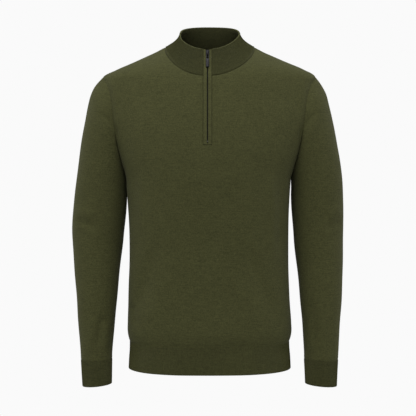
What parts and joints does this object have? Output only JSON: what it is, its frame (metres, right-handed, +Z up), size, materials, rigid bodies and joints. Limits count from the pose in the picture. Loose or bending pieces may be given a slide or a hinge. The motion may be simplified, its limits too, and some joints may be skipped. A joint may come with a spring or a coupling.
{
  "type": "quarter zip sweater",
  "caption": "Long-sleeved fine-knit sweater with a ribbed stand collar and hem, ribbed cuffs and a short zip down the chest, filled out as if worn and open inside.",
  "frame": {"origin": "midway between the two high shoulder points, where the garment bears on its wearer", "axes": "+Z up along the body, +Y towards the wearer's back, so the front with the zip faces -Y, and +X towards the wearer's left"},
  "size_m": [0.5785, 0.2453, 0.7656],
  "materials": {
    "plain_knit": "fine plain-knit wool, dark olive green",
    "rib_knit": "fine ribbed wool, dark olive green",
    "zip_tape": "woven tape",
    "zip_coil": "nylon coil",
    "zip_metal": "dark gunmetal"
  },
  "bodies": {
    "sweater": {"body_front": "plain_knit", "body_back": "plain_knit", "sleeve_left": "plain_knit", "sleeve_right": "plain_knit", "collar": "rib_knit", "hem_rib_front": "rib_knit", "hem_rib_back": "rib_knit", "cuff_left": "rib_knit", "cuff_right": "rib_knit", "placket_left": "rib_knit", "placket_right": "rib_knit", "zip_tape_left": "zip_tape", "zip_tape_right": "zip_tape", "zip_chain": "zip_coil", "zip_bottom_stop": "zip_metal", "zip_slider": "zip_metal"},
    "pull": {"zip_pull": "zip_metal"}
  },
  "joints": [
    {"name": "pull_hinge", "type": "hinge", "parent": "sweater", "child": "pull", "pos_m": [-0.003, -0.07737, -0.02579], "axis": [-1, 0, 0], "range_deg": [0, 165]}
  ]
}
